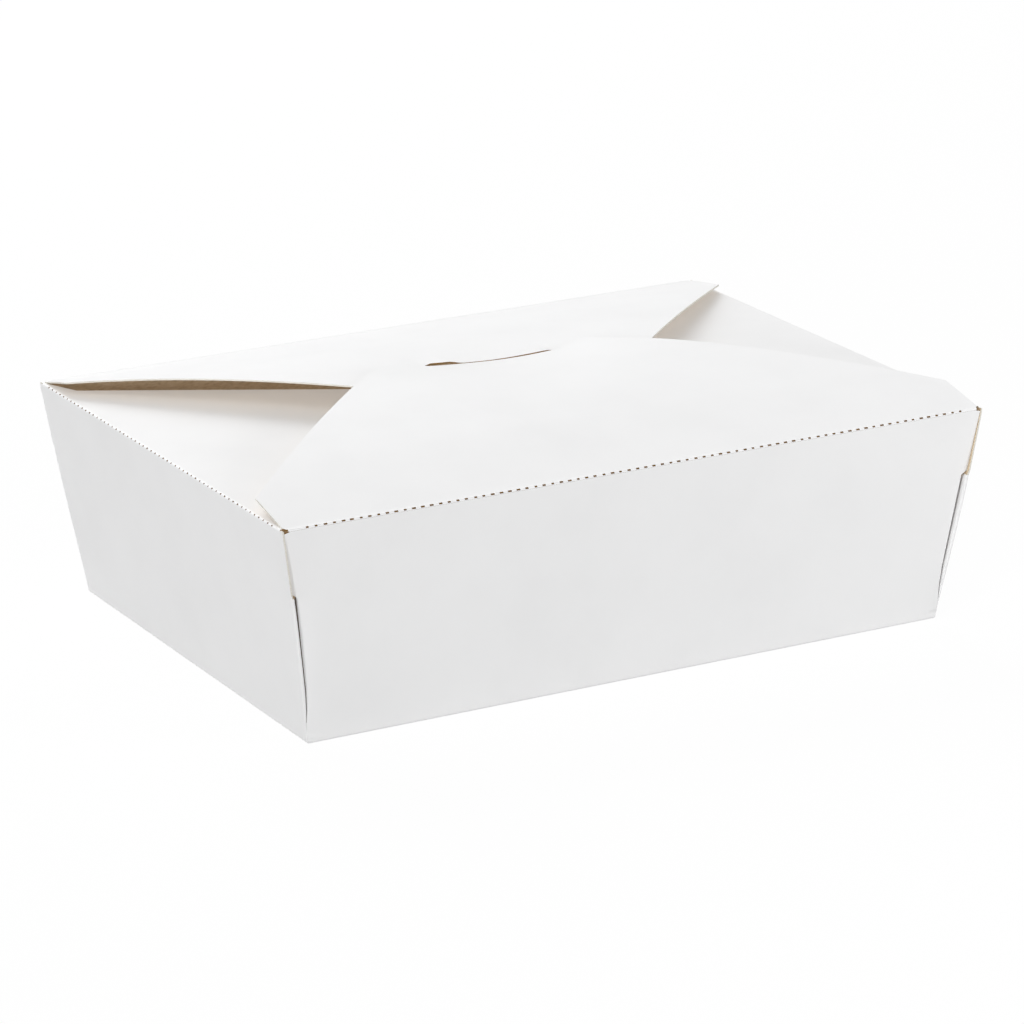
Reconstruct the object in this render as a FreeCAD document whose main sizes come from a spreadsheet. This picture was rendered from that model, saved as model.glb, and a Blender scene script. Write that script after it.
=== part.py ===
import FreeCAD, Part
import math
import os
import Sketcher

# Folding takeout food box, die-cut from one sheet of white-faced kraft board and closed.
# X runs along the long side, Y from the front wall to the rear wall and Z up, in millimetres.
# The origin is the middle of the base, on the surface that the box stands on.
#
# The sheet is a flared tray with four flaps on its rim. The corners are webs, folded flat
# against the inside of the end walls, so that each end wall's edge is a doubled fold with a
# fine seam beside it. Above the webs each corner is a cut. The end flaps fold in first, then
# the rear flap, then the front flap, whose tongue goes down through the slit in the rear flap.
# The front flap is the only one that can open first, so it is a piece of its own.

SIZES = {
    "base_length": (197.0, "outside length of the base"),
    "base_width": (142.0, "outside width of the base"),
    "rim_length": (216.0, "outside length at the rim"),
    "rim_width": (157.0, "outside width at the rim"),
    "tray_height": (62.5, "height of the rim over the base"),
    "board": (0.45, "thickness of the board"),
    "fold_radius": (0.3, "outside radius of the tray's upright folds"),
    "base_fold": (0.2, "flat that the base's folds have on their outside"),
    "web_height": (43.0, "height at which the corner webs end"),
    "seam_width": (0.25, "width of the seam beside a doubled corner fold"),
    "seam_depth": (0.3, "depth of that seam"),
    "corner_cut": (0.3, "extra gap at a corner above its web"),
    "corner_hole": (0.75, "radius of the relief hole where two flap folds meet"),
    "hinge_gap": (0.15, "gap between the front wall and the front flap's fold"),
    "ear_depth": (17.0, "straight side of a long flap, from its fold"),
    "front_reach": (12.5, "how far the front flap reaches past the middle"),
    "rear_reach": (7.5, "how far the rear flap reaches past the middle"),
    "front_lead": (67.0, "length of the front flap's leading edge"),
    "rear_lead": (78.0, "length of the rear flap's leading edge"),
    "fold_strip": (0.9, "flat strip of a long flap beside its fold"),
    "front_crown_left": (10.9, "height of the front flap's bow over its fold, at its left end"),
    "front_crown_right": (9.9, "height of that bow at its right end"),
    "front_crown_run": (80.0, "distance of that bow's top from the fold"),
    "rear_crown_run_left": (72.0, "distance of the rear flap's bow from its fold, at the left end"),
    "rear_crown_run_right": (105.0, "distance of that bow from the fold at the right end"),
    "flap_clearance": (0.4, "gap between the two long flaps at the front one's edge"),
    "tongue_length": (37.0, "length of the tongue along the flap's edge"),
    "tongue_reach": (8.5, "how far past the middle the tongue turns down"),
    "tongue_drop": (8.0, "how far the tongue hangs below the flap"),
    "slit_clearance": (0.25, "gap around the tongue in its slit"),
    "slit_end": (1.0, "gap past each end of the tongue in its slit"),
    "slit_hook": (4.5, "length of the slit's turned ends"),
    "hook_width": (0.6, "width of the slit's turned ends"),
    "end_flap_depth": (80.0, "depth of an end flap"),
    "end_flap_lead": (47.0, "length of an end flap's leading edge"),
    "end_flap_droop": (0.2, "degrees that an end flap sinks below level"),
    "end_root_relief": (3.5, "how far an end flap's fold stops short of the corner"),
    "end_side_relief": (13.5, "how far an end flap's widest corner is from the box's side"),
    "end_side_start": (5.0, "distance of that corner from the end flap's fold"),
    "perforation_pitch": (2.58, "distance between the cuts along a flap's fold"),
    "perforation_length": (1.0, "length of such a cut"),
    "perforation_margin": (4.0, "uncut fold at each end of a flap"),
}

document = FreeCAD.newDocument("TakeoutBox")
sheet = document.addObject("Spreadsheet::Sheet", "Sizes")
for row, (alias, (value, meaning)) in enumerate(SIZES.items(), start=1):
    sheet.set(f"A{row}", str(value))
    sheet.setAlias(f"A{row}", alias)
    sheet.set(f"B{row}", meaning)
document.recompute()

# Expressions for places that several pieces share. Each holds only names from the sheet.
HALF_BASE_LENGTH = "Sizes.base_length / 2"
HALF_BASE_WIDTH = "Sizes.base_width / 2"
HALF_RIM_LENGTH = "Sizes.rim_length / 2"
HALF_RIM_WIDTH = "Sizes.rim_width / 2"
END_FLARE = "((Sizes.rim_length - Sizes.base_length) / 2 / Sizes.tray_height)"
SIDE_FLARE = "((Sizes.rim_width - Sizes.base_width) / 2 / Sizes.tray_height)"
OVER = "2 * Sizes.board"  # what a cutter runs past the board that it cuts
# The long walls and flaps end at the doubled edge of the end walls.
LONG_PANEL_HALF = "(Sizes.rim_length / 2 - 2 * Sizes.board)"
# The long flaps turn on axes in the middle of the board's thickness.
AXIS_Y = "(Sizes.rim_width / 2 - Sizes.board / 2)"
AXIS_Z = "(Sizes.tray_height - Sizes.board / 2)"
# A long flap's bow starts where the flat strip beside its fold ends.
BOW_START = "(Sizes.rim_width / 2 - Sizes.fold_strip)"
FRONT_CROWN_MIDDLE = "((Sizes.front_crown_left + Sizes.front_crown_right) / 2)"


def bow_radius(crown, run):
    """Radius of the arc that rises by crown over run and is level there."""
    return f"(({run}^2 + {crown}^2) / (2 * {crown}))"


def bow_drop(crown, run, distance):
    """How far such an arc is under its crown, at a distance from its start."""
    return f"(({run} - ({distance}))^2 / (2 * {bow_radius(crown, run)}))"


# The rear flap's bow lies under the front flap's leading edge and just clears it.
FRONT_LEAD_DROP = bow_drop(FRONT_CROWN_MIDDLE, "Sizes.front_crown_run", f"{BOW_START} + Sizes.front_reach")
UNDER_FRONT_FLAP = f"({FRONT_LEAD_DROP} + Sizes.board + Sizes.flap_clearance)"
TONGUE_RADIUS = f"({AXIS_Y} + Sizes.tongue_reach)"
TONGUE_TOP_DROP = bow_drop(FRONT_CROWN_MIDDLE, "Sizes.front_crown_run", f"{BOW_START} + Sizes.tongue_reach")
TONGUE_TOP = f"({AXIS_Z} + {FRONT_CROWN_MIDDLE} - {TONGUE_TOP_DROP})"
ABOVE_FLAPS = "(Sizes.tray_height + 2 * Sizes.front_crown_left)"  # a height over everything


def number(expression):
    """What an expression is worth with the sheet's present sizes."""
    return float(sheet.evalExpression(expression))


def named(kind, label):
    """A new object of the document with its own name and label."""
    made = document.addObject(kind, label)
    made.Label = label
    return made


def place(thing, x="0", y="0", z="0"):
    """Ties an object's base point to expressions."""
    for axis, expression in zip("xyz", (x, y, z)):
        thing.setExpression(f"Placement.Base.{axis}", expression)
    return thing


def block(label, low, high):
    """A box between two corners that are given as expressions."""
    made = named("Part::Box", label)
    for size, start, end in zip(("Length", "Width", "Height"), low, high):
        made.setExpression(size, f"({end}) - ({start})")
    return place(made, *low)


def flared_block(label, z_low, z_high, low, high, low_top, high_top):
    """A block whose rectangle changes from low..high at z_low to low_top..high_top at z_high."""
    made = named("Part::Wedge", label)
    # The wedge tapers along its own Y, which is turned to point up, so its Z is minus Y here.
    made.Placement.Rotation = FreeCAD.Rotation(FreeCAD.Vector(1, 0, 0), 90)
    for name, expression in {
        "Ymin": z_low, "Ymax": z_high,
        "Xmin": low[0], "Xmax": high[0], "X2min": low_top[0], "X2max": high_top[0],
        "Zmin": f"-({high[1]})", "Zmax": f"-({low[1]})",
        "Z2min": f"-({high_top[1]})", "Z2max": f"-({low_top[1]})",
    }.items():
        made.setExpression(name, expression)
    return made


def rod(label, radius, y, z, half_length):
    """A cylinder along X, centred on the box's middle."""
    made = named("Part::Cylinder", label)
    made.Placement.Rotation = FreeCAD.Rotation(FreeCAD.Vector(0, 1, 0), 90)
    made.setExpression("Radius", radius)
    made.setExpression("Height", f"2 * ({half_length})")
    return place(made, f"-({half_length})", y, z)


def cut(label, base, tool):
    """The base with the tool taken away."""
    made = named("Part::Cut", label)
    made.Base, made.Tool = base, tool
    return made


def joined(label, *shapes):
    """Several shapes as one."""
    made = named("Part::MultiFuse", label)
    made.Shapes = list(shapes)
    return made


def shared(label, *shapes):
    """The space that several shapes share."""
    made = named("Part::MultiCommon", label)
    made.Shapes = list(shapes)
    return made


def mirrored(label, source, normal):
    """A mirror image in a plane through the origin."""
    made = named("Part::Mirroring", label)
    made.Source = source
    made.Normal = FreeCAD.Vector(*normal)
    return made


def at_all_corners(label, source):
    """A shape at one corner of the box, repeated at the other three."""
    pair = joined(f"{label}_pair", source, mirrored(f"{label}_across", source, (1, 0, 0)))
    return joined(label, pair, mirrored(f"{label}_behind", pair, (0, 1, 0)))


def ring(label, radius, half_thickness, y, z, half_length):
    """A tube along X with the given middle radius."""
    outside = rod(f"{label}_outside", f"{radius} + {half_thickness}", y, z, half_length)
    inside = rod(f"{label}_inside", f"{radius} - {half_thickness}", y, z, f"{half_length} + 1")
    return cut(label, outside, inside)


def hold(sketch, kind, piece, point, expression):
    """Holds one coordinate of a sketch's point, which may be on either side of the origin."""
    ends = (-1, 1, piece, point)
    if number(expression) < 0:
        ends = (piece, point, -1, 1)
        expression = f"-({expression})"
    held = sketch.addConstraint(Sketcher.Constraint(kind, *ends, number(expression)))
    sketch.setExpression(f"Constraints[{held}]", expression)


def outline(label, points):
    """A closed sketch of straight lines, each corner held by two dimensions."""
    sketch = named("Sketcher::SketchObject", label)
    corners = [FreeCAD.Vector(number(x), number(y), 0) for x, y in points]
    for here, there in zip(corners, corners[1:] + corners[:1]):
        sketch.addGeometry(Part.LineSegment(here, there), False)
    for line, (x, y) in enumerate(points):
        previous = (line - 1) % len(points)
        sketch.addConstraint(Sketcher.Constraint("Coincident", previous, 2, line, 1))
        hold(sketch, "DistanceX", line, 1, x)
        hold(sketch, "DistanceY", line, 1, y)
    return sketch


def upright(sketch, x):
    """Stands a sketch in the plane across X, with its own X along Y and its own Y up."""
    sketch.Placement.Rotation = FreeCAD.Rotation(
        FreeCAD.Vector(0, 1, 0), FreeCAD.Vector(0, 0, 1), FreeCAD.Vector(1, 0, 0), "XYZ"
    )
    return place(sketch, x=x)


def bow_section(label, x, side, crown, run, reach):
    """The section of a bowed long flap: two arcs about one centre, closed by upright lines."""
    sketch = named("Sketcher::SketchObject", label)
    radius = bow_radius(crown, run)
    centre_y, centre_z = f"{side} * ({BOW_START} - {run})", f"{AXIS_Z} + {crown} - {radius}"
    centre = FreeCAD.Vector(number(centre_y), number(centre_z), 0)
    # From the end with the larger Y to the other one, as arcs run.
    ends = sorted((f"{side} * {BOW_START}", f"{side} * -({reach} + {OVER})"), key=number, reverse=True)
    corners = []
    for arc, offset in enumerate(("+ Sizes.board / 2", "- Sizes.board / 2")):
        size = number(f"{radius} {offset}")
        circle = Part.Circle(centre, FreeCAD.Vector(0, 0, 1), size)
        angles = [math.acos((number(end) - centre.x) / size) for end in ends]
        sketch.addGeometry(Part.ArcOfCircle(circle, *angles), False)
        corners.append([centre + FreeCAD.Vector(math.cos(a), math.sin(a), 0) * size for a in angles])
        held = sketch.addConstraint(Sketcher.Constraint("Radius", arc, size))
        sketch.setExpression(f"Constraints[{held}]", f"{radius} {offset}")
    outer, inner = corners
    sketch.addGeometry(Part.LineSegment(outer[1], inner[1]), False)
    sketch.addGeometry(Part.LineSegment(inner[0], outer[0]), False)
    for met in ((0, 3, 1, 3), (0, 2, 2, 1), (2, 2, 1, 2), (1, 1, 3, 1), (3, 2, 0, 1)):
        sketch.addConstraint(Sketcher.Constraint("Coincident", *met))
    hold(sketch, "DistanceX", 0, 3, centre_y)
    hold(sketch, "DistanceY", 0, 3, centre_z)
    for arc in (0, 1):
        for point, end in enumerate(ends, start=1):
            hold(sketch, "DistanceX", arc, point, end)
    return upright(sketch, x)


def prism(label, sketch, direction, length):
    """A sketch drawn out to a solid."""
    made = named("Part::Extrusion", label)
    made.Base = sketch
    made.DirMode = "Custom"
    made.Dir = FreeCAD.Vector(*direction)
    made.Solid = True
    made.setExpression("LengthFwd", length)
    return made


def symmetric(half):
    """Adds the mirror image of a half outline, in reverse order, on the other side of Y."""
    return half + [(f"-({x})", y) for x, y in reversed(half)]


def perforation(label, half_span, low, high, along_x=True):
    """Cuts at even steps along a fold. low and high are the cut's section across the fold."""
    made = named("Part::Feature", label)
    pitch, length = number("Sizes.perforation_pitch"), number("Sizes.perforation_length")
    reach = number(f"{half_span} - Sizes.perforation_margin") - length / 2
    count = 2 * int(reach / pitch) + 1
    (across, z_low), (across_end, z_high) = [[number(e) for e in pair] for pair in (low, high)]
    cuts = []
    for step in range(count):
        start = (step - (count - 1) / 2) * pitch - length / 2
        corner = FreeCAD.Vector(start, across, z_low)
        size = [length, across_end - across, z_high - z_low]
        if not along_x:
            corner = FreeCAD.Vector(across, start, z_low)
            size[0], size[1] = size[1], size[0]
        cuts.append(Part.makeBox(*size, corner))
    made.Shape = Part.makeCompound(cuts)
    return made


def rounded_corners(base):
    """The tray's block with its four upright edges rounded."""
    document.recompute()
    made = named("Part::Fillet", "upright_folds")
    made.Base = base
    radius = number("Sizes.fold_radius")
    made.Edges = [
        (position, radius, radius)
        for position, edge in enumerate(base.Shape.Edges, start=1)
        if edge.BoundBox.ZLength > number("Sizes.tray_height") / 2
    ]
    return made


def tray():
    """The base and walls, with folded corner webs, seams and corner cuts."""
    outside = flared_block(
        "tray_outside", "0", "Sizes.tray_height",
        (f"-{HALF_BASE_LENGTH}", f"-{HALF_BASE_WIDTH}"), (HALF_BASE_LENGTH, HALF_BASE_WIDTH),
        (f"-{HALF_RIM_LENGTH}", f"-{HALF_RIM_WIDTH}"), (HALF_RIM_LENGTH, HALF_RIM_WIDTH),
    )
    upright_folds = rounded_corners(outside)
    # The base's folds are flats at half a right angle, which a wide low frustum leaves.
    foot_x, foot_y = f"{HALF_BASE_LENGTH} - Sizes.base_fold", f"{HALF_BASE_WIDTH} - Sizes.base_fold"
    spread = "Sizes.tray_height"
    folds = shared("base_folds", upright_folds, flared_block(
        "base_fold_limit", "0", "Sizes.tray_height",
        (f"-({foot_x})", f"-({foot_y})"), (foot_x, foot_y),
        (f"-({foot_x} + {spread})", f"-({foot_y} + {spread})"), (f"{foot_x} + {spread}", f"{foot_y} + {spread}"),
    ))

    def cavity(label, end_inset, z_top):
        # The space inside the walls: their lean times the height gives each half size.
        bottom_x = f"{HALF_BASE_LENGTH} + Sizes.board * {END_FLARE} - {end_inset}"
        bottom_y = f"{HALF_BASE_WIDTH} + Sizes.board * {SIDE_FLARE} - Sizes.board"
        top_x = f"{HALF_BASE_LENGTH} + ({z_top}) * {END_FLARE} - {end_inset}"
        top_y = f"{HALF_BASE_WIDTH} + ({z_top}) * {SIDE_FLARE} - Sizes.board"
        return flared_block(
            label, "Sizes.board", z_top,
            (f"-({bottom_x})", f"-({bottom_y})"), (bottom_x, bottom_y),
            (f"-({top_x})", f"-({top_y})"), (top_x, top_y),
        )

    walls = cut("walls", folds, cavity("tray_cavity", "Sizes.board", f"Sizes.tray_height + {OVER}"))

    # A folded web is two more thicknesses of board on the end wall's inside. Its diagonal fold
    # halves the angle that the sheet has between the two walls.
    lined = cavity("webbed_cavity", "Sizes.board", "Sizes.web_height")
    bare = cavity("bare_cavity", "3 * Sizes.board", "Sizes.web_height")
    lining = cut("end_wall_lining", lined, bare)
    end_lean, side_lean = f"atan({END_FLARE})", f"atan({SIDE_FLARE})"
    half_web = f"((90 deg - {end_lean} - {side_lean}) / 2)"
    fold_length = f"(Sizes.web_height / cos({side_lean}) * cos({half_web}))"
    fold_slope = f"({half_web} - {side_lean})"
    web_outline = outline("web_outline", [
        (HALF_BASE_WIDTH, "0"),
        (f"{HALF_BASE_WIDTH} + Sizes.web_height * {SIDE_FLARE}", "Sizes.web_height"),
        (f"{HALF_BASE_WIDTH} - {fold_length} * sin({fold_slope})",
         f"{fold_length} * cos({fold_slope}) * cos({end_lean})"),
    ])
    upright(web_outline, f"-({HALF_RIM_LENGTH})")
    web_prism = prism("web_prism", web_outline, (1, 0, 0), "Sizes.rim_length")
    web_prisms = joined("web_prisms", web_prism, mirrored("web_prism_front", web_prism, (0, 1, 0)))
    webs = shared("corner_webs", lining, web_prisms)

    def beside_fold(label, z_low, z_high, from_end, to_end, depth):
        # A slot that climbs one corner, between two distances from the end wall's outside.
        def corner(z):
            x = f"{HALF_BASE_LENGTH} + ({z}) * {END_FLARE}"
            y = f"{HALF_BASE_WIDTH} + ({z}) * {SIDE_FLARE}"
            return (f"{x} - ({to_end})", f"{y} - ({depth})"), (f"{x} - ({from_end})", f"{y} + {OVER}")
        return flared_block(label, z_low, z_high, *corner(z_low), *corner(z_high))

    seams = at_all_corners("seams", beside_fold(
        "seam", f"-{OVER}", "Sizes.web_height",
        "2 * Sizes.board - Sizes.seam_width / 2", "2 * Sizes.board + Sizes.seam_width / 2",
        "Sizes.seam_depth",
    ))
    cuts = at_all_corners("corner_cuts", beside_fold(
        "corner_cut_one", "Sizes.web_height", f"Sizes.tray_height + {OVER}",
        "Sizes.board", "2 * Sizes.board + Sizes.corner_cut", OVER,
    ))
    # The front wall stops below the front flap's fold.
    front_top = block(
        "front_wall_top",
        (f"-({HALF_RIM_LENGTH} - Sizes.board)", f"-({HALF_RIM_WIDTH} + {OVER})",
         "Sizes.tray_height - Sizes.board - Sizes.hinge_gap"),
        (f"{HALF_RIM_LENGTH} - Sizes.board", f"-({HALF_RIM_WIDTH} - 2 * Sizes.board)",
         f"Sizes.tray_height + {OVER}"),
    )
    return cut("tray", joined("webbed_walls", walls, webs), joined("tray_cuts", seams, cuts, front_top))


def relief_hole(label, side):
    """The holes at both ends of a long flap's fold."""
    hole = named("Part::Cylinder", f"{label}_one")
    hole.setExpression("Radius", "Sizes.corner_hole")
    hole.setExpression("Height", f"4 * {OVER}")
    place(hole, LONG_PANEL_HALF, f"{side} * {AXIS_Y}", f"Sizes.tray_height - 2 * {OVER}")
    return joined(label, hole, mirrored(f"{label}_across", hole, (1, 0, 0)))


def long_flap(label, side, left_bow, right_bow, reach, lead):
    """A bowed long flap, each end with a bow of its own, cut to its outline seen from above."""
    bow = named("Part::Loft", f"{label}_bow")
    bow.Sections = [
        bow_section(f"{label}_left", f"-{LONG_PANEL_HALF}", side, *left_bow, reach),
        bow_section(f"{label}_right", LONG_PANEL_HALF, side, *right_bow, reach),
    ]
    bow.Solid = True
    bow.Ruled = True
    half = [
        (LONG_PANEL_HALF, f"{side} * {HALF_RIM_WIDTH}"),
        (LONG_PANEL_HALF, f"{side} * ({AXIS_Y} - Sizes.ear_depth)"),
        (f"{lead} / 2", f"{side} * -({reach})"),
    ]
    column = prism(f"{label}_column", outline(f"{label}_outline", symmetric(half)), (0, 0, 1), ABOVE_FLAPS)
    return shared(f"{label}_blank", bow, column)


def rear_flap():
    """The flap that takes the tongue, with its slit and the slit's turned ends."""
    blank = long_flap(
        "rear_flap", "1",
        (f"(Sizes.front_crown_left - {UNDER_FRONT_FLAP})", "Sizes.rear_crown_run_left"),
        (f"(Sizes.front_crown_right - {UNDER_FRONT_FLAP})", "Sizes.rear_crown_run_right"),
        "Sizes.rear_reach", "Sizes.rear_lead",
    )
    strip = block(
        "rear_strip", (f"-{LONG_PANEL_HALF}", BOW_START, "Sizes.tray_height - Sizes.board"),
        (LONG_PANEL_HALF, f"{HALF_RIM_WIDTH} - Sizes.board / 2", "Sizes.tray_height"),
    )
    half_slit = "(Sizes.tongue_length / 2 + Sizes.slit_end)"
    way = ring(
        "tongue_way", TONGUE_RADIUS, "(Sizes.board / 2 + Sizes.slit_clearance)",
        f"-{AXIS_Y}", AXIS_Z, half_slit,
    )
    above_rim = block(
        "above_rim", (f"-{half_slit}", "0", "Sizes.tray_height"),
        (half_slit, HALF_RIM_WIDTH, ABOVE_FLAPS),
    )
    hook = block(
        "slit_hook", (f"{half_slit} - Sizes.hook_width", "Sizes.tongue_reach", "Sizes.tray_height"),
        (half_slit, "Sizes.tongue_reach + Sizes.slit_hook", ABOVE_FLAPS),
    )
    hooks = joined("slit_hooks", hook, mirrored("slit_hook_across", hook, (1, 0, 0)))
    slit = joined("slit", shared("slit_middle", way, above_rim), hooks)
    return joined("rear_flap", strip, cut("slit_rear_flap", blank, slit))


def end_flaps():
    """The two short flaps, which lie under the long ones and sink a little."""
    half = [
        ("-Sizes.board / 2", f"{HALF_RIM_WIDTH} - Sizes.end_root_relief"),
        ("Sizes.end_side_start", f"{HALF_RIM_WIDTH} - Sizes.end_side_relief"),
        ("Sizes.end_flap_depth", "Sizes.end_flap_lead / 2"),
    ]
    points = half + [(x, f"-({y})") for x, y in reversed(half)]
    flap_outline = outline("end_flap_outline", points)
    place(flap_outline, x=f"-({HALF_RIM_LENGTH} - Sizes.board)", z="Sizes.tray_height")
    flap_outline.Placement.Rotation = FreeCAD.Rotation(
        FreeCAD.Vector(0, 1, 0), number("Sizes.end_flap_droop")
    )
    droop = math.radians(number("Sizes.end_flap_droop"))
    down = (-math.sin(droop), 0, -math.cos(droop))
    left = prism("left_end_flap", flap_outline, down, "Sizes.board")
    return joined("end_flaps", left, mirrored("right_end_flap", left, (1, 0, 0)))


def carton():
    """Everything that stays together: the tray, the rear flap and the end flaps."""
    # A cut goes through the board of the wall and of the flap, so it reaches past the fold's
    # inside corner, which lies further in the more the wall leans.
    through = "(Sizes.board + Sizes.hinge_gap)"
    low, high = f"Sizes.tray_height - {through}", f"Sizes.tray_height + {OVER}"
    rear_cuts = perforation(
        "rear_perforation", LONG_PANEL_HALF,
        (f"{HALF_RIM_WIDTH} - {through} * (1 + {SIDE_FLARE})", low), (f"{HALF_RIM_WIDTH} + {OVER}", high),
    )
    end_cuts = perforation(
        "end_perforation", f"({HALF_RIM_WIDTH} - Sizes.end_root_relief)",
        (f"{HALF_RIM_LENGTH} - {through} * (1 + {END_FLARE})", low), (f"{HALF_RIM_LENGTH} + {OVER}", high),
        along_x=False,
    )
    openings = joined(
        "fold_cuts", rear_cuts, end_cuts, mirrored("end_perforation_across", end_cuts, (1, 0, 0)),
        relief_hole("rear_relief", "1"),
    )
    folded = joined("folded_sheet", tray(), rear_flap(), end_flaps())
    return cut("carton", folded, openings)


def front_fold():
    """The front flap's fold: a perforated flat strip with a rounded outside, about the axis."""
    half_board, round_off = "Sizes.board / 2", "Sizes.board / 4"
    half = [
        (f"-{HALF_RIM_WIDTH}", f"{AXIS_Z} - {round_off}"),
        (f"-({HALF_RIM_WIDTH} - {round_off})", f"{AXIS_Z} - {half_board}"),
        (f"-{BOW_START}", f"{AXIS_Z} - {half_board}"),
    ]
    section = outline("front_fold_section", half + [
        (f"-{BOW_START}", f"{AXIS_Z} + {half_board}"),
        (f"-({HALF_RIM_WIDTH} - {round_off})", f"{AXIS_Z} + {half_board}"),
        (f"-{HALF_RIM_WIDTH}", f"{AXIS_Z} + {round_off}"),
    ])
    strip = prism(
        "front_strip", upright(section, f"-{LONG_PANEL_HALF}"), (1, 0, 0), f"2 * {LONG_PANEL_HALF}"
    )
    cuts = perforation(
        "front_perforation", LONG_PANEL_HALF,
        (f"-({HALF_RIM_WIDTH} + {OVER})", f"{AXIS_Z} - {OVER}"),
        (f"-({HALF_RIM_WIDTH} - Sizes.board - Sizes.hinge_gap)", f"{AXIS_Z} + {OVER}"),
    )
    return cut("front_fold", strip, cuts)


def front_flap():
    """The flap that opens first, with its fold and its tongue."""
    blank = long_flap(
        "front_flap", "-1", ("Sizes.front_crown_left", "Sizes.front_crown_run"),
        ("Sizes.front_crown_right", "Sizes.front_crown_run"), "Sizes.front_reach", "Sizes.front_lead",
    )
    # Beside the tongue the leading edge is notched, and between the notches it ends at the tongue.
    half_notch = "(Sizes.tongue_length / 2 + Sizes.slit_end / 2)"
    strip = block(
        "tongue_strip", (f"-{half_notch}", "0", "Sizes.tray_height"),
        (half_notch, f"Sizes.front_reach + {OVER}", ABOVE_FLAPS),
    )
    kept = rod(
        "up_to_tongue", f"{TONGUE_RADIUS} + Sizes.board / 2", f"-{AXIS_Y}", AXIS_Z, half_notch
    )
    notched = cut("notched_front_flap", blank, cut("strip_past_tongue", strip, kept))
    bend = ring("tongue_bend", TONGUE_RADIUS, "Sizes.board / 2", f"-{AXIS_Y}", AXIS_Z,
                "Sizes.tongue_length / 2")
    span = block(
        "tongue_span", ("-Sizes.tongue_length / 2", "0", f"{TONGUE_TOP} - Sizes.tongue_drop"),
        ("Sizes.tongue_length / 2", HALF_RIM_WIDTH, TONGUE_TOP),
    )
    solid = joined("front_flap_solid", notched, front_fold(), shared("tongue", bend, span))
    return cut("front_flap_part", solid, relief_hole("front_relief", "-1"))


def check(thing):
    """Stops the build if an object failed."""
    states = [state for state in thing.State if state in ("Invalid", "Error")]
    if states:
        raise RuntimeError(f"{thing.Label} is {states}")


def main():
    """Builds the pieces, checks them and writes one file for each."""
    pieces = {"carton": carton(), "front_flap": front_flap()}
    document.recompute()
    for thing in document.Objects:
        check(thing)
    os.makedirs("parts", exist_ok=True)
    for node, piece in pieces.items():
        shape = piece.Shape
        if shape.isNull() or not shape.isValid():
            raise RuntimeError(f"{node} has no valid shape")
        print(node, "solids", len(shape.Solids), "volume", round(shape.Volume, 1), "box", shape.BoundBox)
        shape.exportStep(f"parts/{node}.step")


main()
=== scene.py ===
# %% [markdown]
# # A folding takeout box
#
# The real object is one die-cut sheet of paperboard, coated white on one face and left brown
# on the other. It is folded, and nothing is glued or fastened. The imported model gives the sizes
# and the hinge. This script makes the sheet's looks: its faces, its raw edges, its rounded and
# perforated creases, its webbed corners and the way the flaps bow.

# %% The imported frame
import math
import random

import bmesh
import bpy
from mathutils import Matrix, Vector


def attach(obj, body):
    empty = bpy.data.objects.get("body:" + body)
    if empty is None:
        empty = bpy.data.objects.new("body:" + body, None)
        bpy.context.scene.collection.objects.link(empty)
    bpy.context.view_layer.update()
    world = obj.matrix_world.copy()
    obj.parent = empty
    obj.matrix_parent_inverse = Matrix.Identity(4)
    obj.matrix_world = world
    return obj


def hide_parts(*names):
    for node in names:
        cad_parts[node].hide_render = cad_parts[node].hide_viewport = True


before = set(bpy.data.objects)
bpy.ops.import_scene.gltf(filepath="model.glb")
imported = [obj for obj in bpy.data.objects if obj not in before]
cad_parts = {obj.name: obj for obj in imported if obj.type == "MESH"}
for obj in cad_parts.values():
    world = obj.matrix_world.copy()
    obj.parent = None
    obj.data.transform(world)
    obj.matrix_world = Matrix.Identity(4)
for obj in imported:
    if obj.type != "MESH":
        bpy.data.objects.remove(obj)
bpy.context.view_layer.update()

# %% [markdown]
# ## The camera
#
# The box is seen from its front left corner, a little from above, through a long lens. The
# place, the turn and the lens come from the corners of the box in the photograph. A camera can
# be set by Euler angles, but a rotation matrix made of its right, up and back directions takes
# the measured values as they are. The frame's centre lies a little beside the lens's axis,
# which is what shift is for.

# %% Camera
AZIMUTH, ELEVATION, ROLL = (math.radians(turn) for turn in (-28.4697, 17.9581, -0.6163))
DISTANCE, TARGET = 1.3117, Vector((0, 0, 0.03125))
PHOTO_SIDE, FOCAL_PIXELS = 1024, 4636.8
AXIS_RIGHT, AXIS_DOWN = 506.17, 500.23  # where the lens's axis meets the photograph
SENSOR = 36.0

back = Vector((
    math.sin(AZIMUTH) * math.cos(ELEVATION),
    -math.cos(AZIMUTH) * math.cos(ELEVATION),
    math.sin(ELEVATION),
))
level = Vector((math.cos(AZIMUTH), math.sin(AZIMUTH), 0))
axes = Matrix((level, back.cross(level), back)).transposed()
turn = axes @ Matrix.Rotation(ROLL, 3, "Z")

camera_data = bpy.data.cameras.new("camera")
camera_data.sensor_width = SENSOR
camera_data.lens = FOCAL_PIXELS / PHOTO_SIDE * SENSOR
camera_data.shift_x = (PHOTO_SIDE / 2 - AXIS_RIGHT) / PHOTO_SIDE
camera_data.shift_y = (AXIS_DOWN - PHOTO_SIDE / 2) / PHOTO_SIDE
camera_data.clip_start, camera_data.clip_end = 0.01, 100
camera = bpy.data.objects.new("camera", camera_data)
camera.matrix_world = Matrix.Translation(TARGET + back * DISTANCE) @ turn.to_4x4()
bpy.context.scene.collection.objects.link(camera)
bpy.context.scene.camera = camera
print("camera at", tuple(round(v, 4) for v in camera.location), "lens", round(camera_data.lens, 1))

# %% [markdown]
# ## The sheet's sizes
#
# Everything is modelled in millimetres, because a crease of half a millimetre is easier to read
# that way, and is scaled to metres when a piece is finished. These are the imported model's sizes.

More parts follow.
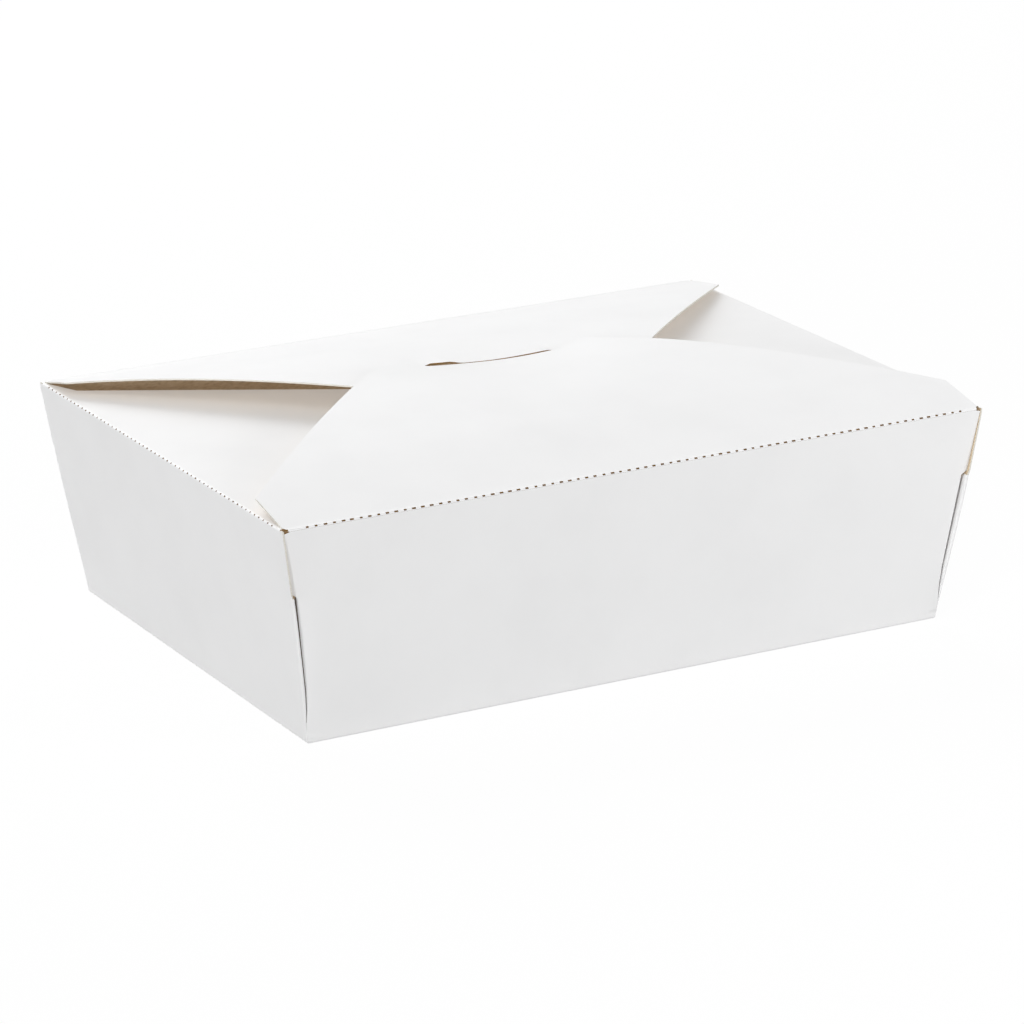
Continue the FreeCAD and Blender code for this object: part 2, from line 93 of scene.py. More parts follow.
# %% Sizes in millimetres
BASE_X, BASE_Y = 98.5, 71.0        # half the base
RIM_X, RIM_Y = 108.0, 78.5         # half the rim
HEIGHT = 62.5
BOARD = 0.45
FOLD = 0.5                         # outside radius of a crease
ROOT, PANEL = 106.06, 107.1        # half of a long flap's crease, and of its panel
WEB = 43.0                         # height of the folded corner webs
WEB_DEEP, WEB_LOW = 17.5, 29.3     # how far in, and how high up, a web's fold ends
LEAN_X = math.atan((RIM_X - BASE_X) / HEIGHT)
LEAN_Y = math.atan((RIM_Y - BASE_Y) / HEIGHT)
WALL_TOP = 61.9                    # where the walls end and the creases over them begin
END_ROOT = 76.8                    # half the root of an end flap
END_WALL = 107.6                   # a point of the rim beyond this belongs to an end wall
CORNER_FORMED = 14.0               # height at which a corner's folds have fully formed
SAME = 1e-3                        # places closer than this are the same
PITCH = 2.58                       # step of the perforations
LONG_CUT, END_CUT = 1.0, 0.6       # usual lengths of their cuts
LONG_UNCUT, END_UNCUT = 3.5, 4.0   # what stays uncut at a crease's end
WANDER = 0.12                      # how far a cut strays along its crease
SHORTEST, LONGEST = 0.75, 1.15     # of a cut, as shares of its usual length
CUT_ROOM = 0.7                     # room for a cut from its middle, as such a share


def between(a, b, share):
    """The value that lies a share of the way from a to b."""
    return a + (b - a) * share


def clamp(value):
    """The value, kept between 0 and 1."""
    return min(max(value, 0), 1)


def bell(value, reach):
    """1 where the value is nothing, falling smoothly to 0 at the reach."""
    left = max(1 - abs(value) / reach, 0)
    return left * left * (3 - 2 * left)


def perforation(half, cuts_to, length, seed):
    """Half a perforated crease: its points from the middle on, and its cuts as (start, end)."""
    uneven = random.Random(seed)
    cuts, middle = [(0.0, length / 2)], PITCH
    while middle + CUT_ROOM * length <= cuts_to:
        centre = middle + uneven.uniform(-WANDER, WANDER)
        half_cut = length / 2 * uneven.uniform(SHORTEST, LONGEST)
        cuts.append((centre - half_cut, centre + half_cut))
        middle += PITCH
    return sorted(place for cut in cuts for place in cut) + [half], cuts


def in_a_cut(along, cuts):
    """Whether a place along a crease lies in one of its cuts."""
    return any(start < abs(along) < end for start, end in cuts)


LONG_PLACES, LONG_CUTS = perforation(ROOT, ROOT - LONG_UNCUT, LONG_CUT, seed=3)
END_PLACES, END_CUTS = perforation(END_ROOT, END_ROOT - END_UNCUT, END_CUT, seed=5)
print("cuts to a half crease", len(LONG_CUTS), "and", len(END_CUTS))
print("leans", round(math.degrees(LEAN_X), 2), round(math.degrees(LEAN_Y), 2), "degrees")

# %% [markdown]
# ## The finishes
#
# Coated board is not plain white paint. Its clay coat has a soft gloss, fibres under it make a
# very fine tooth, and the tone wanders a little over the sheet. The inside is bare kraft: brown,
# rough, with short fibres that lie mostly one way and a few dark flecks. A cut edge shows the
# layers of the board, pale and clean along the outline. Where the perforation, the slit and the
# corner holes are punched, the edge is kraft brown darkened with painted shade. This stands in
# for the shade in these narrow holes, which the lamps without shadow would otherwise light. The
# long walls' faces in the narrow seams beside the corner webs get a dark grey of painted shade,
# since hardly any light arrives there. A deeper gap would do the same, but the lamps without
# shadow would still light it. All five are noise in object space, so they need no picture and
# stay put when the flap turns. The tooth is bump only, since it is far smaller than a pixel.


# %% Material tools
def new_material(name):
    """A new material, its Principled shader, and the functions that add and link nodes."""
    material = bpy.data.materials.new(name)
    material.use_nodes = True
    tree = material.node_tree
    shader = tree.nodes["Principled BSDF"]

    def add(kind, **values):
        node = tree.nodes.new(kind)
        for key, value in values.items():
            if key in node.inputs:
                node.inputs[key].default_value = value
            else:
                setattr(node, key, value)
        return node

    return material, shader, add, tree.links.new


def noise(add, link, place, scale, detail=3.0, stretch=None):
    """A noise on the object's own coordinates, in metres; stretch makes it longer one way."""
    source = place
    if stretch:
        mapping = add("ShaderNodeMapping")
        mapping.inputs["Scale"].default_value = stretch
        link(place, mapping.inputs["Vector"])
        source = mapping.outputs["Vector"]
    made = add("ShaderNodeTexNoise", Scale=scale, Detail=detail)
    link(source, made.inputs["Vector"])
    return made.outputs["Fac"]


def ramp(add, link, factor, stops):
    """Colours for the values of a factor, as (position, colour) pairs."""
    made = add("ShaderNodeValToRGB")
    while len(made.color_ramp.elements) < len(stops):
        made.color_ramp.elements.new(0.5)
    for element, (position, colour) in zip(made.color_ramp.elements, stops):
        element.position = position
        element.color = (*colour, 1)
    link(factor, made.inputs["Fac"])
    return made.outputs["Color"]


def matt(shader, roughness, specular):
    """Sets how rough a face is and how strongly it reflects."""
    shader.inputs["Roughness"].default_value = roughness
    shader.inputs["Specular IOR Level"].default_value = specular


def bump(add, link, height, distance, strength=1.0, below=None):
    """A bump of a height factor, over another bump's normal if there is one."""
    made = add("ShaderNodeBump", Distance=distance, Strength=strength)
    link(height, made.inputs["Height"])
    if below:
        link(below, made.inputs["Normal"])
    return made.outputs["Normal"]


# %% White coated face
coat, shader, add, link = new_material("white_coat")
place = add("ShaderNodeTexCoord").outputs["Object"]
tone = noise(add, link, place, 45.0, 4.0)
link(ramp(add, link, tone, [
    (0.3, (0.866, 0.866, 0.868)), (0.5, (0.880, 0.880, 0.882)), (0.7, (0.890, 0.890, 0.892)),
]), shader.inputs["Base Color"])
gloss = add("ShaderNodeMapRange")
gloss.inputs["To Min"].default_value, gloss.inputs["To Max"].default_value = 0.52, 0.66
link(noise(add, link, place, 260.0, 2.0), gloss.inputs["Value"])
link(gloss.outputs["Result"], shader.inputs["Roughness"])
shader.inputs["Specular IOR Level"].default_value = 0.27
waves = bump(add, link, noise(add, link, place, 38.0, 2.0), 0.0005, 0.25)
tooth = bump(add, link, noise(add, link, place, 2600.0, 3.0), 0.00003, 0.35, waves)
link(tooth, shader.inputs["Normal"])

# %% Brown kraft face
kraft, shader, add, link = new_material("kraft_face")
place = add("ShaderNodeTexCoord").outputs["Object"]
fibres = noise(add, link, place, 520.0, 6.0, (1.0, 3.4, 3.4))
link(ramp(add, link, fibres, [
    (0.25, (0.50, 0.38, 0.25)), (0.5, (0.64, 0.515, 0.36)), (0.78, (0.74, 0.615, 0.465)),
]), shader.inputs["Base Color"])
matt(shader, 0.86, 0.2)
link(bump(add, link, fibres, 0.00008, 0.5), shader.inputs["Normal"])

# %% Cut edges and painted shade
def edge_or_shade_finish(name, dark, middle, light):
    """A cut edge, or painted shade: thin layers of three tones, rough and without gloss."""
    material, shader, add, link = new_material(name)
    place = add("ShaderNodeTexCoord").outputs["Object"]
    layers = noise(add, link, place, 1500.0, 5.0, (0.4, 0.4, 5.0))
    tones = ramp(add, link, layers, [(0.3, dark), (0.55, middle), (0.8, light)])
    link(tones, shader.inputs["Base Color"])
    matt(shader, 0.9, 0.15)
    link(bump(add, link, layers, 0.00006, 0.6), shader.inputs["Normal"])
    return material


raw = edge_or_shade_finish("raw_edge", (0.64, 0.61, 0.54), (0.74, 0.72, 0.66), (0.83, 0.82, 0.78))
# The punched edges are kraft brown darkened with painted shade, for the shade inside narrow holes.
punched_shade_finish = edge_or_shade_finish(
    "punched_edge_shade", (0.12, 0.066, 0.018), (0.23, 0.135, 0.05), (0.33, 0.205, 0.09),
)
# The seams beside the webs get a dark grey that is painted shade.
seam = edge_or_shade_finish("seam_depth", (0.17, 0.145, 0.125), (0.23, 0.2, 0.178), (0.3, 0.265, 0.24))
FINISHES = (coat, kraft, raw, punched_shade_finish, seam)
COAT, KRAFT, RAW, PUNCHED_SHADE, SEAM_SHADE = range(len(FINISHES))  # a face's material index
print("finishes", [material.name for material in FINISHES])

# %% [markdown]
# ## Tools for folded board
#
# A sheet is modelled as its white outside face only, the way a die cuts it: rows of points
# drawn out from a crease. A crease is a spin about the fold's own centre, a panel is a row of
# edges extruded step by step, and an outline is trimmed with planes, as a knife does it. The
# Solidify modifier then gives the whole sheet its thickness, inwards, with the brown face as
# its second material and the cut edge as its third. That is why every hole and slit has an
# edge without more work. Punched edges, and the seams beside the webs, then get darker finishes
# of painted shade, by their place.


# %% Sheet tools
def boundary(verts):
    """The edges that have both ends among the given vertices."""
    chosen = set(verts)
    return [e for e in {e for v in chosen for e in v.link_edges} if set(e.verts) <= chosen]


def draw_out(bm, edges, moved):
    """Extrudes a row of edges and moves each new point; returns the new row's edges."""
    made = bmesh.ops.extrude_edge_only(bm, edges=edges)["geom"]
    verts = [g for g in made if isinstance(g, bmesh.types.BMVert)]
    for v in verts:
        v.co = moved(v.co)
    return boundary(verts)


def crease(bm, edges, centre, axis, degrees, steps=4):
    """Rolls a row of edges about a line through centre; returns the last row's edges."""
    verts = list({v for e in edges for v in e.verts})
    made = bmesh.ops.spin(
        bm, geom=verts + edges, cent=centre, axis=axis, dvec=(0, 0, 0),
        angle=math.radians(degrees), steps=steps, use_merge=False, use_normal_flip=False,
        use_duplicate=False,
    )["geom_last"]
    return boundary([g for g in made if isinstance(g, bmesh.types.BMVert)])


def whole(bm):
    """All points, edges and faces of a sheet."""
    return bm.verts[:] + bm.edges[:] + bm.faces[:]


def score(bm, point, outwards, cut_off=False):
    """Divides a sheet along a plane; with cut_off it takes away what lies outwards of it."""
    bmesh.ops.bisect_plane(
        bm, geom=whole(bm), dist=1e-5,
        plane_co=point, plane_no=outwards, clear_outer=cut_off, clear_inner=False,
    )


def score_at(bm, xs, ys):
    """Divides a sheet at places on X, and then at places on Y."""
    for x in xs:
        score(bm, Vector((x, 0, 0)), Vector((1, 0, 0)))
    for y in ys:
        score(bm, Vector((0, y, 0)), Vector((0, 1, 0)))


def punch(bm, inside):
    """Deletes the faces whose middle fulfils a test."""
    gone = [f for f in bm.faces if inside(f.calc_center_median())]
    bmesh.ops.delete(bm, geom=gone, context="FACES")
    return len(gone)


def crease_row(bm, half):
    """A row of edges along X at the origin's height, from the places of half a crease."""
    places = [-x for x in reversed(half)][:-1] + half
    vert = bm.verts.new((places[0], 0, 0))
    verts = [vert]
    for here, there in zip(places, places[1:]):
        made = bmesh.ops.extrude_vert_indiv(bm, verts=[vert])
        vert = made["verts"][0]
        bmesh.ops.translate(bm, verts=[vert], vec=(there - here, 0, 0))
        verts.append(vert)
    return boundary(verts)


def from_middle(co):
    """A place in metres as millimetres from the middle on X and on Y, and its height."""
    return abs(co.x) * 1000, abs(co.y) * 1000, co.z * 1000


def leaning(foot, lean, z):
    """Half size of the tray's outside at a height, but for the rounded fold of the base."""
    return foot + math.tan(lean) * z


# The zones of the punched edges, whose finish is darkened with painted shade.
RIM_LOW = WALL_TOP - 1.2           # punched edges lie above this height
LONG_CREASE_Y, END_CREASE_X = 77.2, 107.3  # the creases lie beyond these
CORNER_HOLE_Y = 76.6
SLIT_HALF, SLIT_FROM, SLIT_TO = 22, 6.5, 14  # a zone around the slit


def in_punched_shade(co):
    """Whether a cut edge at a place belongs to a perforation, the slit or a corner hole, and so
    gets painted shade.
    """
    x, y, z = from_middle(co)
    if z < RIM_LOW:
        return False
    long_crease = y > LONG_CREASE_Y and x < ROOT - 1
    end_crease = x > END_CREASE_X and y < END_ROOT - 1
    corner_hole = ROOT + 0.1 < x < END_WALL and y > CORNER_HOLE_Y
    slit = x < SLIT_HALF and SLIT_FROM < co.y * 1000 < SLIT_TO
    return long_crease or end_crease or corner_hole or slit


# The seams' painted shade: the height where it begins, and which faces take it.
SEAM_SHADE_FOOT = 2                      # height at which the dark seams begin
FACING = 0.9                       # how squarely a face of theirs looks towards the end


def in_seam_shade(co, normal):
    """Whether a face is the long wall's side of the seam between that wall and a folded web, which
    gets painted shade.
    """
    x, y, z = from_middle(co)
    inside_end = x < leaning(BASE_X, LEAN_X, z) - 0.5
    inside_long = y < leaning(BASE_Y, LEAN_Y, z) - 0.1
    outwards = math.copysign(normal.x, normal.x * co.x)
    return SEAM_SHADE_FOOT < z < WEB and outwards > FACING and inside_end and inside_long


def grown_roll(z):
    """How far the corners' folds have formed at a height, from 0 at the base to 1."""
    return 1 - bell(max(z - FOLD, 0), CORNER_FORMED)


CRUSHED = 2.5                      # how near to both walls the board is crushed
THINNEST, THICKENING = 0.08, 1.8   # least share there, and how fast it grows with the folds


def thickness_share(co):
    """Share of the board's thickness: less where it is crushed in the base's corners."""
    x, y, z = from_middle(co)
    near_x = leaning(BASE_X, LEAN_X, z) - x < CRUSHED
    near_y = leaning(BASE_Y, LEAN_Y, z) - y < CRUSHED
    if z > CORNER_FORMED or not (near_x and near_y):
        return 1.0
    return min(max(THICKENING * grown_roll(z), THINNEST), 1.0)


SHARP = math.radians(38)           # edges that turn more than this are drawn sharp


def finish_board(name, bm, body, *nodes):
    """Thickens a sheet, gives it its finishes and lets it ride on its body."""
    bmesh.ops.scale(bm, vec=(0.001, 0.001, 0.001), verts=bm.verts)
    mesh = bpy.data.meshes.new(name)
    bm.to_mesh(mesh)
    bm.free()
    for material in FINISHES:
        mesh.materials.append(material)
    made = bpy.data.objects.new(name, mesh)
    bpy.context.scene.collection.objects.link(made)
    crushed = made.vertex_groups.new(name="crushed")
    for v in mesh.vertices:
        crushed.add([v.index], thickness_share(v.co), "REPLACE")
    thickness = made.modifiers.new("board", "SOLIDIFY")
    thickness.vertex_group = "crushed"
    thickness.thickness = BOARD / 1000
    thickness.offset = -1
    thickness.material_offset = KRAFT
    thickness.material_offset_rim = RAW
    # The thickness is applied so that the edges can be marked sharp by their angle.
    bpy.context.view_layer.update()
    graph = bpy.context.evaluated_depsgraph_get()
    solid = bpy.data.meshes.new_from_object(made.evaluated_get(graph))
    made.modifiers.clear()
    made.vertex_groups.clear()
    made.data = solid
    # Holes' cut edges get the punched finish, darkened with painted shade, and the seams' faces
    # get painted shade.
    for face in solid.polygons:
        if face.material_index == RAW and in_punched_shade(face.center):
            face.material_index = PUNCHED_SHADE
        elif face.material_index == COAT and in_seam_shade(face.center, face.normal):
            face.material_index = SEAM_SHADE
    solid.shade_smooth()
    solid.set_sharp_from_angle(angle=SHARP)
    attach(made, body)
    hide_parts(*nodes)
    size = [round(v * 1000, 2) for v in made.dimensions]
    print(name, len(solid.polygons), "faces", size, "mm")
    return made


# %% [markdown]
# ## The long flaps
#
# The two long flaps lie over each other and bow upwards, because each is a little longer than
# the room it has. The bow is highest where the flap ends and differs a little from the left end
# to the right one. Each flap is drawn out from its crease in short rows, so that the bow is
# smooth, and then trimmed to its outline: short ears, then a slanted side.


# %% Bowed flap
# Rows of a long flap, by their distance from its crease: close at first, then even.
FLAP_ROWS = [0.35, 1.2, 2.5, 4.5] + [4.5 + 3.6 * n for n in range(1, 40)]
FLARE = 1.2                        # distance in which a flap widens from its root
BOW_START = 77.6                   # where the bow starts, from the middle line
LEAST_SLOPE = 0.1                  # of a long flap beside its crease
EAR = 17.0                         # length of its ears
LONG_CUT_ARC, END_CUT_ARC = (14, 75), (20, 66)  # degrees of the roll that the cuts take
SLIT_DIP = {"deep": 2.1, "middle": (8, 7), "reach": (50, 42)}
EDGE_DIP = {"deep": 0.6, "middle": (2, 8.5), "reach": (55, 18)}


def bow_height(crown, run, along):
    """How high a bowed flap has risen at a distance from its crease."""
    return crown * (1 - (1 - max(along, 0) / run) ** 2)


def dip(co, deep, middle, reach):
    """Depth at a place of a smooth hollow, such as the closed tongue pulls around its slit."""
    return deep * bell(co.x - middle[0], reach[0]) * bell(co.y - middle[1], reach[1])


def long_flap(side, left, right, reach, lead):
    """A long flap's outside face. side is -1 for the front and 1 for the rear.

    left and right are the bow's crown and run at the flap's two ends, reach is how far the
    flap goes past the middle line, and lead is the length of its leading edge.
    """
    bm = bmesh.new()
    row = crease_row(bm, LONG_PLACES)
    # The fold turns from the wall's lean to the slope that the bow starts with, which is
    # twice its crown over its run, here as the mean of the two ends.
    slope = math.atan(left[0] / left[1] + right[0] / right[1])
    fold_turn = math.pi / 2 + LEAN_Y - slope
    tangent = FOLD * math.tan(fold_turn / 2)
    start = Vector((
        0, side * (RIM_Y - tangent * math.sin(LEAN_Y)), HEIGHT - tangent * math.cos(LEAN_Y),
    ))
    bmesh.ops.translate(bm, verts=bm.verts, vec=start)
    if side > 0:
        # The rear flap goes on from the wall, whose top row is a little under the crease.
        foot_y = RIM_Y - (HEIGHT - WALL_TOP) * math.tan(LEAN_Y)
        draw_out(bm, row, lambda co: Vector((co.x, foot_y, WALL_TOP)))
    centre = start + Vector((0, -side * FOLD * math.cos(LEAN_Y), FOLD * math.sin(LEAN_Y)))
    row = crease(bm, row, centre, (1, 0, 0), side * math.degrees(fold_turn))
    y_end = min(side * v.co.y for e in row for v in e.verts)
    total = y_end + reach

    def half_width(along):
        return between(ROOT, PANEL, clamp(along / FLARE))

    def bowed(co, along, wider):
        """Where a point of the last row goes in the row at a distance from the crease."""
        moved = Vector((co.x * wider, side * (y_end - along), 0))
        share = (moved.x + PANEL) / (2 * PANEL)
        past = along + tangent - (RIM_Y - BOW_START)
        risen = between(bow_height(*left, past), bow_height(*right, past), share)
        moved.z = HEIGHT + max(risen, LEAST_SLOPE * along)
        return moved

    last = 0.0
    for along in [place for place in FLAP_ROWS if place < total - 1] + [total]:
        wider = half_width(along) / half_width(last)
        row = draw_out(bm, row, lambda co: bowed(co, along, wider))
        last = along
    # The ears stop a little in, and the sides slant from there to the leading edge.
    ear = Vector((PANEL, side * (RIM_Y - BOARD / 2 - EAR), 0))
    tip = Vector((lead / 2, -side * reach, 0))
    for sign in (1, -1):
        run = Vector((sign * (tip.x - ear.x), tip.y - ear.y, 0))
        outwards = Vector((run.y, -run.x, 0)) * (sign * -side)
        score(bm, Vector((sign * ear.x, ear.y, 0)), outwards, cut_off=True)

    def on_the_roll(co):
        up = math.degrees(math.atan2(co.z - centre.z, side * (co.y - centre.y)))
        near = (co.yz - centre.yz).length < 1.1 * FOLD
        return near and LONG_CUT_ARC[0] < up < LONG_CUT_ARC[1]

    cuts = punch(bm, lambda c: in_a_cut(c.x, LONG_CUTS) and on_the_roll(c))
    print("long flap on side", side, "has", len(bm.faces), "faces;", cuts, "cut out of its crease")
    return bm


# %% [markdown]
# ## The front flap and its tongue
#
# The front flap closes the box. Its leading edge is cut back in the middle, with slanted
# shoulders, and there the board turns down into a tongue. On a real box the tongue has to swing
# through its slit, so it is curved about the flap's own hinge: here it is a spin about the
# hinge's axis. The tongue is shorter than the slit, most at its left end, which leaves the slit
# open there, as the photograph shows. Last, both flaps are lowered around the slit.

# %% Front flap
HINGE = Vector((0, -(RIM_Y - BOARD / 2), HEIGHT - BOARD / 2))
TONGUE_LEFT, TONGUE_RIGHT = -10.6, 19.0
NOTCH_LEFT, NOTCH_RIGHT = -19.3, 21.4
TONGUE_TOP = 8.29                  # where the tongue folds down, behind the middle line
TONGUE_FOLD, TONGUE_TURN = 82, 5.0  # degrees: its fold, and its own length about the hinge
SHOULDER = Vector((9.5, 4.21, 0))  # from the notch's corner to the leading edge

front_bm = long_flap(-1, left=(10.87, 80.0), right=(9.87, 80.0), reach=12.5, lead=67.0)
score_at(front_bm, (NOTCH_LEFT, TONGUE_LEFT, TONGUE_RIGHT, NOTCH_RIGHT), (TONGUE_TOP,))
for sign, notch in ((-1, NOTCH_LEFT), (1, NOTCH_RIGHT)):
    across = Vector((-sign * SHOULDER.y, SHOULDER.x, 0))
    score(front_bm, Vector((notch, TONGUE_TOP, 0)), across)
slant = SHOULDER.y / SHOULDER.x
punch(front_bm, lambda c: c.y > TONGUE_TOP + slant * max(NOTCH_LEFT - c.x, c.x - NOTCH_RIGHT, 0))
fold_row = [
    e for e in front_bm.edges
    if e.is_boundary and all(
        abs(v.co.y - TONGUE_TOP) < SAME and TONGUE_LEFT - SAME <= v.co.x <= TONGUE_RIGHT + SAME
        for v in e.verts
    )
]
top = max(v.co.z for e in fold_row for v in e.verts)
tongue_centre = Vector((0, TONGUE_TOP, top - FOLD))
fold_row = crease(front_bm, fold_row, tongue_centre, (1, 0, 0), -TONGUE_FOLD)
crease(front_bm, fold_row, HINGE, (1, 0, 0), -TONGUE_TURN)
for v in front_bm.verts:
    v.co.z -= dip(v.co, **SLIT_DIP) + dip(v.co, **EDGE_DIP)
tongue_tip = min(v.co.z for v in front_bm.verts if v.co.y > TONGUE_TOP - 0.29)
print("tongue from", TONGUE_LEFT, "to", TONGUE_RIGHT, "mm, down to", round(tongue_tip, 2))
front_flap = finish_board("front_flap_sheet", front_bm, "front_flap", "front_flap")

# %% [markdown]
# ## The rear flap and its slit
#
# The rear flap lies under the front one. The slit follows the tongue's line and turns back at
# its left end, which keeps the board from tearing when the tongue is pushed in. The tongue is
# wedged in it, so the lip behind it stands up a little, most at the slit's two open ends. The
# lip is shaped by a smooth height over the points that the flap has already.

# %% Rear flap
SLIT, SLIT_RIGHT, SLIT_FRONT, SLIT_BACK = 19.5, 21.5, 7.9, 9.15
HOOK_WIDTH, HOOK_END = 0.7, 12.6
LIP_LEFT, LIP_MIDDLE, LIP_RIGHT = 1.5, 0.85, 1.25  # how far it stands up along the slit
LIP_REACH = 18
LIP_FALL, LIP_LEVEL = -12, -9      # where the left part's height starts and stops falling
FREE, HELD = 20, 2                 # powers: a blunt end where it is free, a round one further in

rear_bm = long_flap(1, left=(9.87, 72.0), right=(8.87, 105.0), reach=7.5, lead=78.0)
score_at(rear_bm, (-SLIT, -SLIT + HOOK_WIDTH, SLIT_RIGHT), (SLIT_FRONT, SLIT_BACK, HOOK_END))
punch(rear_bm, lambda c: -SLIT < c.x < SLIT_RIGHT and SLIT_FRONT < c.y < SLIT_BACK)
punch(rear_bm, lambda c: -SLIT < c.x < HOOK_WIDTH - SLIT and SLIT_BACK < c.y < HOOK_END)


def lip(co):
    """How far the lip behind the slit stands up, which is most at the slit's open ends."""
    if not HOOK_WIDTH - SLIT - 0.01 < co.x < SLIT_RIGHT or co.y < SLIT_BACK - 0.01:
        return 0.0
    # The board is free at the slit's edge, and held at both sides from the hook's end on.
    held = clamp((co.y - SLIT_BACK) / (HOOK_END - SLIT_BACK))
    if co.x < 0:
        across = between(1.0, 1 - (co.x / (SLIT - HOOK_WIDTH)) ** HELD, held)
        high = between(LIP_LEFT, LIP_MIDDLE, clamp((co.x - LIP_FALL) / (LIP_LEVEL - LIP_FALL)))
    else:
        across = 1 - (co.x / SLIT_RIGHT) ** between(FREE, HELD, held)
        high = between(LIP_MIDDLE, LIP_RIGHT, co.x / SLIT_RIGHT)
    return high * max(across, 0) * bell(co.y - SLIT_BACK, LIP_REACH)


for v in rear_bm.verts:
    v.co.z += lip(v.co) - dip(v.co, **SLIT_DIP)
print("rear flap", len(rear_bm.faces), "faces with its slit")

# %% [markdown]
# ## The end flaps
#
# The end flaps fold in first and lie under the long ones. They are flat, because nothing holds
# them up or down, and their sides slope strongly so that they clear the webs. Their crease is
# perforated as the others are.

# %% End flap
END_LENGTH = 80.0
END_ROWS = (0.35, 1.2, 3.0, 5.0, 9.0, 16.0, 24.0, 32.0, 40.0, 48.0, 56.0, 64.0, 72.0, END_LENGTH)
END_SHOULDER = 5.0                 # length of the steep shoulders
SHOULDER_HALF, TIP_HALF = 65.0, 23.5  # half the width at their end, and at the flap's
DROOP = math.radians(0.2)


def end_flap_half(deep):
    """Half the end flap's width: a short steep shoulder, then a long slope."""
    if deep < END_SHOULDER:
        return between(END_ROOT, SHOULDER_HALF, deep / END_SHOULDER)
    past = (deep - END_SHOULDER) / (END_LENGTH - END_SHOULDER)
    return between(SHOULDER_HALF, TIP_HALF, past)


def end_flap():
    """The right end's flap as an outside face, drawn out from the top of its wall."""
    bm = bmesh.new()
    row = crease_row(bm, END_PLACES)
    quarter_turn = Matrix.Rotation(math.pi / 2, 3, "Z")
    bmesh.ops.rotate(bm, verts=bm.verts, cent=(0, 0, 0), matrix=quarter_turn)
    start = Vector((BASE_X + WALL_TOP * math.tan(LEAN_X), 0, WALL_TOP))
    bmesh.ops.translate(bm, verts=bm.verts, vec=start)
    fold_turn = math.pi / 2 + LEAN_X + DROOP
    radius = (HEIGHT - WALL_TOP) / math.cos(LEAN_X) / math.tan(fold_turn / 2)
    centre = start + radius * Vector((-math.cos(LEAN_X), 0, math.sin(LEAN_X)))
    row = crease(bm, row, centre, (0, 1, 0), -math.degrees(fold_turn))
    first = row[0].verts[0].co.copy()
    half = END_ROOT
    for deep in END_ROWS:
        narrower = end_flap_half(deep) / half
        row = draw_out(bm, row, lambda co: Vector((
            first.x - deep, co.y * narrower, first.z - deep * math.sin(DROOP),
        )))
        half = end_flap_half(deep)

    def on_the_roll(co):
        up = math.degrees(math.atan2(co.z - centre.z, co.x - centre.x))
        return END_CUT_ARC[0] < up < END_CUT_ARC[1]

    cuts = punch(bm, lambda c: in_a_cut(c.y, END_CUTS) and c.x > first.x and on_the_roll(c))
    print("end flap", len(bm.faces), "faces,", cuts, "cut out")
    return bm


end_bm = end_flap()

# %% [markdown]
# ## The tray with its webbed corners
#
# The four walls are one ring of board. At each corner the sheet isn't cut but folded inwards on
# a diagonal, and the two layers of this web lie against the end wall's inside. From outside one
# sees two rounded creases with a narrow dark gap between them. Over the webs the sheet is cut,
# and the walls stand side by side with raw edges.
#
# One quarter of the ring is a grid whose columns run along the ring and whose rows climb the
# wall. Its points are folded into place, faces over the webs are cut away at the corner, and
# the quarter is mirrored twice. The ring's bottom row is then filled with the base.

# %% Folding one quarter of the ring
UNROLLED = 1.2                     # height over the webs in which their folds open out
WALL_ROWS = (
    0, 0.03, 0.12, 0.26, 0.43, 0.9, 1.6, 2.5, 3.5, 4.7, 6.2, 8, 10, 16, 22, WEB_LOW, 34, 39,
    WEB, WEB + 0.5, WEB + UNROLLED, 50, 55, 59, 61.2, WALL_TOP,
)
END_PART = 77.979                  # what the end wall's columns are a share of
END_LEFT = 1.3                     # what their last one leaves of the wall
ALONG = [x / ROOT for x in LONG_PLACES]
ACROSS = [y / END_PART for y in END_PLACES + [END_PART]]
ROLL_STEPS = 4
SEAM_LOW, SEAM_TOP = 0.25, 0.95    # width of the seam beside a web
EDGE_GAP = 0.1                     # between the two walls' cut edges over a web
FLAT_STEP = 0.35                   # step of the columns that the opened fold leaves
PROUD, PROUD_TOP = 1.1, 0.2        # how far the end walls' edges stand out
PROUD_AT = WEB - 5                 # height at which they stand out most


def step_left(step):
    """Share of the corner's fold that is still between a point of it and the cut edge."""
    return max(3 - step, 0) / ROLL_STEPS


def outset(z, foot, lean):
    """Half size of the tray's outside at a height, with the rounded fold of the base."""
    if z < FOLD * (1 - math.sin(lean)):
        centre = foot + math.tan(lean) * FOLD - FOLD / math.cos(lean)
        return centre + math.sqrt(FOLD ** 2 - (FOLD - z) ** 2)
    return leaning(foot, lean, z)


def proud(z):
    """How far an end wall's edge stands out past the long wall, most near the web's top."""
    if z < PROUD_AT:
        return PROUD * math.sin(math.pi / 2 * z / PROUD_AT)
    return between(PROUD, PROUD_TOP, (z - PROUD_AT) / (WALL_TOP - PROUD_AT))


